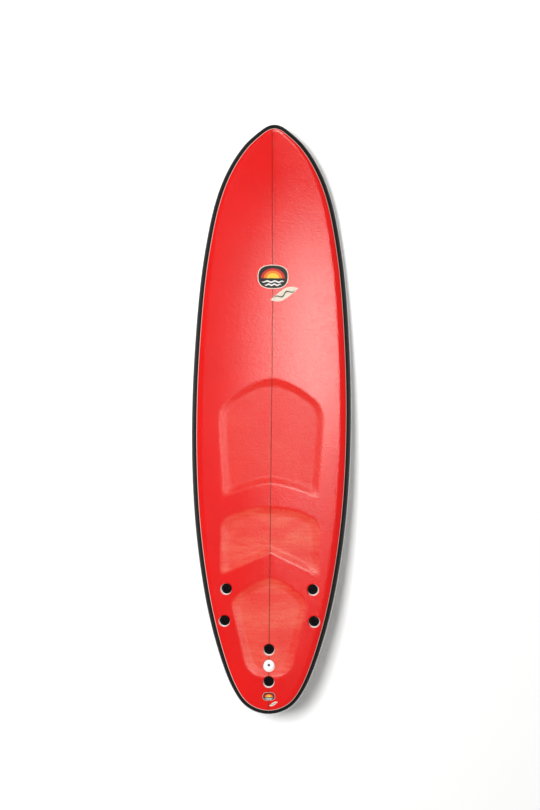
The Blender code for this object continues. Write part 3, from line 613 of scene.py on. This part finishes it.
skinFineness = {"tipRows": 46, "middleRows": 560, "deckColumns": 52, "underColumns": 9, "ringRows": 300,
                "bandColumns": 10, "railColumns": 14, "flatColumns": 10, "lipColumns": 4, "holeSides": 96}
skinEdge = {"bevel": 0.0016, "rimDrop": 0.0012, "sharp": 50.0}
zoneEdge = {"reach": 0.003, "wallShare": 0.55}  # where the sunk zones' roughness and painted sheen start and how fast they come in
plugHoles = {  # each hole in the foam is punched a little large and off centre, away from "from"
    "from": (0.0, -0.45), "toolReach": 0.02,
    # the last two place the painted highlight: a pale crescent on each hole's side away from "from"
    "shift": 0.0015, "clear": 0.0016, "highlightShift": 0.0030, "highlightReach": 0.0024,
    "flare": (  # radius over the hole's, height over the deck
        (0.0, -0.0080), (0.0, -0.0024), (0.0003, -0.0014), (0.0008, -0.0008), (0.0016, -0.0003),
        (0.0028, 0.0001), (0.0050, 0.0008),
    ),
}


def boltPlaces():
    places = {}
    for side, sign in (("left", -1.0), ("right", 1.0)):
        for end in ("Front", "Rear"):
            x, y = fastenings["side" + end]
            places[f"{side}_{end.lower()}"] = (sign * x, y)
    places["centre_front"] = fastenings["centreFront"]
    places["centre_rear"] = fastenings["centreRear"]
    return places


def allHoles():
    holes = [(place, fastenings["plugRadius"]) for place in boltPlaces().values()]
    return holes + [(fastenings["leash"], fastenings["leashRadius"])]


def deckAt(place):
    return float(deckHeightAt(np.array([place[0]]), np.array([place[1]]))[0])


def holePlace(place, shift):
    # the fastening's place moved straight away from the point that the holes lean from
    away = np.array(place) - np.array(plugHoles["from"])
    return tuple(np.array(place) + away / np.linalg.norm(away) * shift)


def flareTool(place, radius):
    # a straight hole that widens in a rounded flare just under the deck
    top = deckAt(place)
    wide = radius + plugHoles["clear"]
    reach = plugHoles["toolReach"]
    profile = [(0.0, top - reach), (wide, top - reach)]
    profile += [(wide + grow, top + rise) for grow, rise in plugHoles["flare"]]
    profile += [(wide + plugHoles["flare"][-1][0], top + reach), (0.0, top + reach)]
    middle = holePlace(place, plugHoles["shift"])
    return turnedPiece("tool", profile, middle, redFoam, skinFineness["holeSides"])


def makeDeckSkin():
    # a bevelled sheet: top and underside follow the deck, one skin's thickness apart
    ribs = makeRibs(ribAngles(skinFineness["tipRows"], skinFineness["middleRows"]))
    edge = deckEdge(ribs) + boardShape["gap"]
    bevel = skinEdge["bevel"]
    spread = np.linspace(0.0, 1.0, skinFineness["deckColumns"])[None, :]
    under = np.linspace(0.0, 1.0, skinFineness["underColumns"])[None, :]
    inner = edge + bevel
    start = inner + bevel
    across = np.concatenate((inner, start + (ribs["run"] - start) * spread), axis=1)
    top = deckPoints(ribs, across, 0.0)[:, ::-1]
    rim = deckPoints(ribs, edge, skinEdge["rimDrop"])
    rimLow = deckPoints(ribs, edge, boardShape["deckSkin"])
    bottom = deckPoints(ribs, inner + (ribs["run"] - inner) * under, boardShape["deckSkin"])
    upper = np.concatenate((top, rim), axis=1)
    lower = np.concatenate((rimLow, bottom), axis=1)
    return loftLoops("deckSkinFine", mirroredLoops(upper, lower), redFoam, sharp=skinEdge["sharp"])


def markDeck(skin):
    # two values per point: how far it lies from the skin's edge or from the painted highlight beside a hole,
    # and how deep in a sunk zone (for the zones' roughness and painted sheen)
    mesh = skin.data
    flat = np.empty(len(mesh.vertices) * 3)
    mesh.vertices.foreach_get("co", flat)
    board = toBoard(flat.reshape(-1, 3))
    x, y = board[:, 0], board[:, 1]
    ribs, fromRail = ribOver(x, y)
    fromEdge = fromRail - deckEdge(ribs) - boardShape["gap"]
    # painted highlight: a pale crescent on each hole's side away from "from", joined to the pale rim
    for place, radius in allHoles():
        middle = holePlace(place, plugHoles["highlightShift"])
        pastHighlight = np.hypot(x - middle[0], y - middle[1]) - radius - plugHoles["highlightReach"]
        fromEdge = np.minimum(fromEdge, np.maximum(pastHighlight + deckFinish["edgeWidth"], 0.0))
    sunk = smoothStep((insideZones(x, y) + zoneEdge["reach"]) / (sunkZones["wall"] * zoneEdge["wallShare"]))
    for name, values in (("fromEdge", fromEdge), ("sunk", sunk)):
        attribute = mesh.attributes.new(name, "FLOAT", "POINT")
        attribute.data.foreach_set("value", values.astype(np.float32))


def makeBand(name, side):
    # half a ring between the deck skin and the lip, stopped half a gap short of the middle
    ribs = makeRibs(ribAngles(skinFineness["tipRows"], skinFineness["ringRows"]))
    inner = deckEdge(ribs)
    outer = boardShape["lip"] + boardShape["gap"]
    spread = np.linspace(0.0, 1.0, skinFineness["bandColumns"])[None, :]
    across = inner + (outer - inner) * spread
    under = deckPoints(ribs, across, boardShape["deckSkin"])[:, ::-1]
    loop = np.concatenate((deckPoints(ribs, across, 0.0), under), axis=1)
    loop[..., 0] = side * np.maximum(loop[..., 0], boardShape["gap"] / 2)
    return loftLoops(name, loop, bandFoam, capped=True, sharp=skinEdge["sharp"])


def makeBottomSkin():
    # a shell: lip beside the band, round the tucked rail and across the flat, outside and inside
    ribs = makeRibs(ribAngles(skinFineness["tipRows"], skinFineness["ringRows"]))
    turns = np.linspace(0.0, math.pi / 2, skinFineness["railColumns"])[None, :]
    shares = np.linspace(1.0, 0.0, skinFineness["flatColumns"])[None, 1:]
    lip = np.linspace(boardShape["lip"], 0.0, skinFineness["lipColumns"])[None, :-1]
    sides = []
    for inset, edge in ((0.0, lip), (boardShape["bottomSkin"], boardShape["lip"])):
        deck, flat = deckPoints(ribs, edge, inset), flatPoints(ribs, shares, inset)
        sides.append(np.concatenate((deck, bottomPoints(ribs, turns, inset), flat), axis=1))
    outside, inside = sides
    loops = mirroredLoops(inside[:, ::-1], outside)
    return loftLoops("bottomSkinFine", loops, slickWhite, sharp=skinEdge["sharp"])


deckSkin = makeDeckSkin()
cut(deckSkin, joinTools([flareTool(place, radius) for place, radius in allHoles()]))
deckSkin.data.set_sharp_from_angle(angle=math.radians(skinEdge["sharp"]))
markDeck(deckSkin)
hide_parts("deck_skin")
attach(deckSkin, "root")
for side, sign in (("left", -1.0), ("right", 1.0)):
    band = makeBand(side + "BandFine", sign)
    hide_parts("rail_band_" + side)
    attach(band, "root")
bottomSkin = makeBottomSkin()
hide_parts("bottom_skin")
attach(bottomSkin, "root")
print("skins made")

# Plugs and screws

plugSizes = {
    "bore": 0.0033, "recess": 0.0080, "recessDepth": 0.0038, "crown": 0.0010,
    "recessFillet": 0.0006, "mouthBevel": 0.0008, "tube": 0.007, "flangeUnder": 0.009, "under": 0.010,
    "rings": (  # shares of the radius and of the crown: a shallow groove, then the fall to the edge
        (0.60, 1.0), (0.63, 0.4), (0.69, 0.4), (0.72, 0.9), (0.86, 0.4), (0.96, -0.5), (1.0, -1.4),
    ),
}
screwSizes = {
    "head": 0.0060, "shank": 0.0027, "length": 0.030, "clear": 0.0003, "sides": 48,
    "dome": ((0.0, 0.0030), (0.45, 0.0029), (0.75, 0.0026), (0.94, 0.0018), (1.0, 0.0010)),
    "slotTurns": (35.0, 125.0), "slotReach": 0.0034, "slotHalf": 0.0006,
    "slotEnds": ((0.5, 0.0010), (1.0, 0.0040)),  # share of the reach, height over the head's underside
}


def makePlug(name, place):
    # bore, recess for the screw's head, grooved disc and the tube below
    size = plugSizes
    top, radius, crown = deckAt(place), fastenings["plugRadius"], plugSizes["crown"]
    floor = top - size["recessDepth"]
    profile = [
        (size["bore"], top - size["under"]), (size["bore"], floor),
        (size["recess"] - size["recessFillet"], floor), (size["recess"], floor + size["recessFillet"]),
        (size["recess"], top + crown * 0.3), (size["recess"] + size["mouthBevel"], top + crown),
    ]
    profile += [(radius * share, top + crown * rise) for share, rise in size["rings"]]
    profile += [(radius, top - size["flangeUnder"]), (size["tube"], top - size["under"])]
    return turnedPiece(name, profile, place, plugBlack)


def makeScrew(name, place):
    # domed head on a shank, with a crossed slot
    size = screwSizes
    under = deckAt(place) - plugSizes["recessDepth"] + size["clear"]
    profile = [(size["head"] * share, under + rise) for share, rise in size["dome"]]
    profile += [(size["head"], under), (size["shank"], under)]
    profile += [(size["shank"], under - size["length"]), (0.0, under - size["length"])]
    screw = turnedPiece(name, profile, place, screwSteel, size["sides"])
    arms = []
    for turn in np.radians(size["slotTurns"]):
        along = np.array((math.cos(turn), math.sin(turn))) * size["slotReach"]
        across = np.array((-math.sin(turn), math.cos(turn))) * size["slotHalf"]
        corners = [along + across, along - across, -along - across, -along + across]
        loops = np.array([
            [(place[0] + x * share, place[1] + y * share, under + height) for x, y in corners]
            for share, height in size["slotEnds"]
        ])
        arms.append(loftLoops("tool", loops, screwSteel, capped=True))
    for arm in arms:
        cut(screw, arm)
    return screw


for key, place in boltPlaces().items():
    plug = makePlug("plug_" + key, place)
    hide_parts("deck_plug_" + key)
    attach(plug, "root")
    screw = makeScrew("screw_" + key, place)
    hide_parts("fin_screw_" + key)
    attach(screw, "root")


leashSizes = {
    "bore": 0.0045, "tube": 0.0075, "flangeUnder": 0.009, "under": 0.010, "length": 0.030,
    "mouth": ((0.0045, 0.0002), (0.0050, 0.0008), (0.0058, 0.0010)),  # radius, height over the deck
    "disc": ((0.80, 0.0010), (0.93, 0.0007), (1.0, -0.0004)),  # share of the radius, height over the deck
}


def makeLeashTop():
    # a round disc with a rounded mouth, on a tube
    size = leashSizes
    place, radius = fastenings["leash"], fastenings["leashRadius"]
    top = deckAt(place)
    profile = [(size["bore"], top - size["length"])]
    profile += [(reach, top + rise) for reach, rise in size["mouth"]]
    profile += [(radius * share, top + rise) for share, rise in size["disc"]]
    profile += [(radius, top - size["flangeUnder"]), (size["tube"], top - size["under"])]
    profile += [(size["tube"], top - size["length"])]
    return turnedPiece("leashPlugFine", profile, place, leashWhite)


leashTop = makeLeashTop()
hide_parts("leash_plug_top")
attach(leashTop, "root")
print("fastenings made")

# Fins: a swept blade on a stadium flange, with two posts for the screws

finShape = {
    "depth": 0.115, "cant": math.radians(5.0), "rootThickness": 0.009, "tipThickness": 0.004,
    "lead": 0.062, "sweep": 0.138, "sweepPower": 1.6, "trail": -0.062, "hollow": 0.016,
    "trailSweep": 0.026, "edge": 0.0006, "fullness": 1.6, "trailPower": 0.7, "rootFillet": 0.0035,
    "flangeLength": 0.150, "flangeWidth": 0.030, "flangeThickness": 0.0035, "flangeEdge": 0.0018,
    "postRadius": 0.007, "postHeight": 0.014, "gap": 0.0003, "sharp": 40.0,
    "rootRows": 10, "middleRows": 30, "tipRows": 9, "rootEnd": 0.06, "tipStart": 0.94, "tipRound": 0.0605,
    "chordColumns": 27, "filletFade": 0.0035,
    "flangeRows": 61, "flangeColumns": 21, "flangeFlat": 0.45, "flangeEnd": 0.01, "postSides": 40,
}


def finAxes(front, rear):
    front, rear = np.array(front), np.array(rear)
    forward = (front - rear) / np.linalg.norm(front - rear)
    return (front + rear) / 2, forward, np.array((forward[1], -forward[0]))


def makeBlade(front, rear, cant):
    # rows down the depth; each section is round in front and fine behind
    shape = finShape
    middle, forward, outward = finAxes(front, rear)
    rise = float(rocker(np.array(front[1])) - rocker(np.array(rear[1]))) / (front[1] - rear[1])
    meanRise = float(rocker(np.array(front[1])) + rocker(np.array(rear[1]))) / 2
    base = meanRise - shape["gap"] - shape["flangeThickness"] / 2
    share = np.concatenate((
        np.linspace(0.0, shape["rootEnd"], shape["rootRows"])[:-1],
        np.linspace(shape["rootEnd"], shape["tipStart"], shape["middleRows"]),
        np.linspace(shape["tipStart"], 1.0, shape["tipRows"])[1:],
    ))[:, None]
    lead = shape["lead"] - shape["sweep"] * share ** shape["sweepPower"]
    trail = shape["trail"] + shape["hollow"] * np.sin(math.pi * share) - shape["trailSweep"] * share ** 2
    chord = (1.0 - np.cos(np.linspace(0.0, math.pi, shape["chordColumns"])))[None, :] / 2
    halfThick = (shape["rootThickness"] + (shape["tipThickness"] - shape["rootThickness"]) * share) / 2
    pastStart = np.maximum(share - shape["tipStart"], 0.0) / shape["tipRound"]
    tip = np.sqrt(np.maximum(1.0 - pastStart ** 2, 0.0))
    # half thickness = fullness x root of the chord x a power of what is left of it, + the edge's
    offset = shape["fullness"] * halfThick * np.sqrt(chord) * (1.0 - chord) ** shape["trailPower"]
    offset = offset + shape["edge"]
    fillet = shape["rootFillet"] * np.exp(-share * shape["depth"] / shape["filletFade"])
    offset = offset * tip + fillet
    both = np.concatenate((chord, chord[:, ::-1]), axis=1)
    offset = np.concatenate((offset, -offset[:, ::-1]), axis=1)
    along = lead + (trail - lead) * both
    depth = shape["depth"] * share
    side = offset + math.tan(cant) * depth
    x = middle[0] + forward[0] * along + outward[0] * side
    y = middle[1] + forward[1] * along + outward[1] * side
    z = base + rise * (y - middle[1]) - depth
    return loftLoops("tool", np.stack((x, y, z), axis=-1), finBlack, capped=True, merge=1e-7)


def makeFlange(front, rear):
    # rows along a stadium outline; the underside bows down to a flat middle
    shape = finShape
    middle, forward, outward = finAxes(front, rear)
    halfLength, halfSpan = shape["flangeLength"] / 2, shape["flangeWidth"] / 2
    station = np.sin(np.linspace(-0.5, 0.5, shape["flangeRows"]) * math.pi)[:, None]
    intoEnd = np.maximum(np.abs(station) * halfLength - (halfLength - halfSpan), 0.0) / halfSpan
    span = halfSpan * np.sqrt(np.maximum(1.0 - intoEnd ** 2, shape["flangeEnd"]))
    across = np.linspace(1.0, -1.0, shape["flangeColumns"])
    pastFlat = np.maximum(np.abs(across) - shape["flangeFlat"], 0.0) / (1.0 - shape["flangeFlat"])
    bow = 1.0 - pastFlat ** 2
    depths = shape["flangeEdge"] + (shape["flangeThickness"] - shape["flangeEdge"]) * bow
    across = np.concatenate(((-1.0, 1.0), across))[None, :]
    depths = np.concatenate(((0.0, 0.0), depths))[None, :]
    along = station * halfLength + 0.0 * across
    x = middle[0] + forward[0] * along + outward[0] * across * span
    y = middle[1] + forward[1] * along + outward[1] * across * span
    z = rocker(y) - shape["gap"] - depths
    return loftLoops("fin", np.stack((x, y, z), axis=-1), finBlack, capped=True, merge=1e-7)


def makePost(place):
    shape = finShape
    low = float(rocker(np.array(place[1]))) - shape["flangeThickness"] / 2
    high = low + shape["postHeight"]
    profile = ((0.0, low), (shape["postRadius"], low), (shape["postRadius"], high), (0.0, high))
    return turnedPiece("tool", profile, place, finBlack, shape["postSides"])


for name, cant in (("left", -finShape["cant"]), ("right", finShape["cant"]), ("centre", 0.0)):
    front, rear = boltPlaces()[name + "_front"], boltPlaces()[name + "_rear"]
    fin = makeFlange(front, rear)
    fin.name = "finFine_" + name
    cut(fin, makeBlade(front, rear, cant), "UNION")
    cut(fin, joinTools([makePost(front), makePost(rear)]), "UNION")
    fin.data.set_sharp_from_angle(angle=math.radians(finShape["sharp"]))
    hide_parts("fin_" + name)
    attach(fin, "root")
print("fins made")

# Printed graphics: thin closed films that follow the deck

graphics = {
    "badge": {"place": (0.000, 0.515), "width": 0.112, "height": 0.088, "turn": 0.0},
    "swash": {"place": (0.042, 0.452), "length": 0.110, "height": 0.034, "turn": math.radians(24.0)},
    "tailBadge": {"place": (0.001, -1.002), "width": 0.044, "height": 0.030, "turn": 0.0},
    "tailSwash": {"place": (0.018, -1.028), "length": 0.034, "height": 0.010, "turn": math.radians(24.0)},
    "lift": 0.00015, "step": 0.00010, "film": 0.0006,
    "topRings": 12, "underRings": 4, "ovalPoints": 120, "wavePoints": 90, "stripRows": 5,
}
inks = {
    "black": (0.010, 0.010, 0.009), "cream": (0.80, 0.70, 0.58), "red": (0.62, 0.020, 0.015),
    "orange": (0.86, 0.22, 0.02), "yellow": (0.90, 0.60, 0.05), "white": (0.86, 0.85, 0.82),
    "olive": (0.055, 0.055, 0.025),
}
inkFinishes = {
    name: plainGrain("ink_" + name, tuple(0.85 * part for part in colour), colour, 0.34, 230.0, 0.00010)
    for name, colour in inks.items()
}


def turnedBy(points, turn, place):
    # points turned in plan and moved to their place
    x = points[..., 0] * math.cos(turn) - points[..., 1] * math.sin(turn) + place[0]
    y = points[..., 0] * math.sin(turn) + points[..., 1] * math.cos(turn) + place[1]
    return x, y


def addFilm(name, outline, centre, layer, ink, turn, place):
    # rings from the middle to the outline on top, and back to the middle underneath
    rings = graphics["topRings"]
    shares = np.concatenate((np.linspace(0.0, 1.0, rings), np.linspace(1.0, 0.0, graphics["underRings"])))
    shares = shares[:, None, None]
    x, y = turnedBy(centre + (outline[None] - centre) * shares, turn, place)
    height = graphics["lift"] + graphics["step"] * layer
    rise = np.where(np.arange(len(shares)) < rings, height, -graphics["film"])[:, None]
    z = deckHeightAt(x.ravel(), y.ravel()).reshape(x.shape) + rise
    film = loftLoops(name, np.stack((x, y, z), axis=-1), inkFinishes[ink])
    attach(film, "root")


def ovalOutline(width, height, power=2.0, low=0.0, high=2 * math.pi):
    # superellipse: each of cosine and sine raised to 2 / power
    turn = np.linspace(low, high, graphics["ovalPoints"], endpoint=high - low < 2 * math.pi)
    x = np.sign(np.cos(turn)) * np.abs(np.cos(turn)) ** (2 / power) * width / 2
    y = np.sign(np.sin(turn)) * np.abs(np.sin(turn)) ** (2 / power) * height / 2
    return np.stack((x, y), axis=-1)


def waveOutline(length, height, swing, waves, taper):
    # a band along a sine line, narrowing to its ends
    run = np.linspace(-1.0, 1.0, graphics["wavePoints"])
    middle = swing * np.sin(run * math.pi * waves)
    half = height / 2 * np.maximum(1.0 - np.abs(run) ** taper, 0.02)
    top = np.stack((run * length / 2, middle + half), axis=-1)
    low = np.stack((run * length / 2, middle - half), axis=-1)
    return np.concatenate((top, low[::-1]), axis=0)


def addStrip(name, length, height, swing, waves, taper, layer, ink, turn, place, lift=0.0):
    # the same band as a film whose rows run along it
    outline = waveOutline(length, height, swing, waves, taper)
    half = len(outline) // 2
    top, low = outline[:half], outline[half:][::-1]
    across = np.linspace(0.0, 1.0, graphics["stripRows"])[None, :, None]
    rows = top[:, None] + (low - top)[:, None] * across
    x, y = turnedBy(rows + np.array((0.0, lift)), turn, place)
    height = graphics["lift"] + graphics["step"] * layer
    deck = deckHeightAt(x.ravel(), y.ravel()).reshape(x.shape)
    upper = np.stack((x, y, deck + height), axis=-1)
    lower = np.stack((x, y, deck - graphics["film"]), axis=-1)[:, ::-1]
    film = loftLoops(name, np.concatenate((upper, lower), axis=1), inkFinishes[ink], capped=True)
    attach(film, "root")


def addBadge(name, choice):
    # a sun over dark water in a rounded shield
    width, height, turn, place = choice["width"], choice["height"], choice["turn"], choice["place"]
    middle = np.zeros(2)
    addFilm(name + "_edge", ovalOutline(width, height, 2.6), middle, 0, "cream", turn, place)
    addFilm(name + "_field", ovalOutline(width * 0.95, height * 0.94, 2.6), middle, 1, "black", turn, place)
    sunPlace = np.array((0.0, -height * 0.06))
    for layer, size, ink in ((2, 0.78, "red"), (3, 0.60, "orange"), (4, 0.40, "yellow")):
        dome = ovalOutline(width * size, height * size * 1.05, 2.0, 0.0, math.pi) + sunPlace
        addFilm(f"{name}_sun_{ink}", dome, sunPlace + np.array((0.0, height * 0.1)), layer, ink, turn, place)
    for index, (reach, drop) in enumerate(((0.74, 0.20), (0.56, 0.33))):
        addStrip(f"{name}_wave_{index}", width * reach, height * 0.065, height * 0.025, 3, 6.0, 3, "white",
                 turn, place, -height * drop)


def addSwash(name, choice):
    # a pale leaf with one dark wave line along it
    length, height, turn, place = choice["length"], choice["height"], choice["turn"], choice["place"]
    addStrip(name + "_leaf", length, height, height * 0.10, 1, 2.4, 2, "cream", turn, place)
    addStrip(name + "_line", length * 0.78, height * 0.16, height * 0.16, 2, 4.0, 5, "olive", turn, place)


addBadge("badge", graphics["badge"])
addSwash("swash", graphics["swash"])
addBadge("tailBadge", graphics["tailBadge"])
addSwash("tailSwash", graphics["tailSwash"])
print("graphics made")

# Camera, floor and light

view = {  # "height" is how much of the plane at "level" the picture shows from top to bottom
    "distance": 6.5, "lens": 80.0, "height": 2.932, "level": 0.13,
    "aimX": -0.006, "aimY": 0.0435, "roll": 0.61,
}
floorChoice = {"halfSize": 30.0, "colour": (0.96, 0.96, 0.96), "roughness": 0.9, "specular": 0.1}
lights = {  # areas facing down: a near key for shade, and three far ones that the deck's sheen mirrors
    "world": 0.20,
    "key": {"place": (-3.2, 1.3, 10.0), "size": (3.2, 3.2), "power": 1130.0, "colour": (1.0, 1.0, 1.0)},
    "box": {"place": (1.95, 3.4, 16.0), "size": (3.5, 4.2), "power": 100.0, "colour": (1.0, 0.96, 0.90)},
    "upper": {"place": (1.30, 4.2, 15.9), "size": (4.8, 2.6), "power": 128.0, "colour": (1.0, 0.96, 0.90)},
    "hot": {"place": (2.45, 3.5, 15.8), "size": (2.5, 2.0), "power": 42.0, "colour": (1.0, 0.96, 0.90)},
}


def addCamera():
    camera = bpy.data.cameras.new("camera")
    camera.sensor_fit = "VERTICAL"
    camera.lens = view["lens"]
    camera.sensor_height = view["height"] * view["lens"] / view["distance"]
    obj = bpy.data.objects.new("camera", camera)
    obj.location = (view["aimX"], view["aimY"], view["distance"] + view["level"])
    obj.rotation_euler = (0.0, 0.0, math.radians(view["roll"]))
    bpy.context.scene.collection.objects.link(obj)
    bpy.context.scene.camera = obj


def addArea(name, glossy=True):
    choice = lights[name]
    light = bpy.data.lights.new(name, "AREA")
    light.shape = "RECTANGLE"
    light.size, light.size_y = choice["size"]
    light.energy = choice["power"]
    light.color = choice["colour"]
    obj = bpy.data.objects.new(name, light)
    obj.location = choice["place"]
    obj.visible_glossy = glossy
    bpy.context.scene.collection.objects.link(obj)


def addFloor():
    mesh = bpy.data.meshes.new("floor")
    size = floorChoice["halfSize"]
    corners = [(-size, -size, 0), (size, -size, 0), (size, size, 0), (-size, size, 0)]
    mesh.from_pydata(corners, [], [(0, 1, 2, 3)])
    obj = bpy.data.objects.new("floor", mesh)
    bpy.context.scene.collection.objects.link(obj)
    material = newMaterial("paleFloor", floorChoice["colour"], floorChoice["roughness"],
                           specular=floorChoice["specular"])[0]
    mesh.materials.append(material)


addCamera()
addFloor()
world = bpy.data.worlds.new("world")
world.use_nodes = True
world.node_tree.nodes["Background"].inputs["Color"].default_value = (1.0, 1.0, 1.0, 1.0)
world.node_tree.nodes["Background"].inputs["Strength"].default_value = lights["world"]
bpy.context.scene.world = world
addArea("key", glossy=False)
for name in ("box", "upper", "hot"):
    addArea(name)
bpy.context.scene.view_settings.view_transform = "Standard"
print("scene lit")
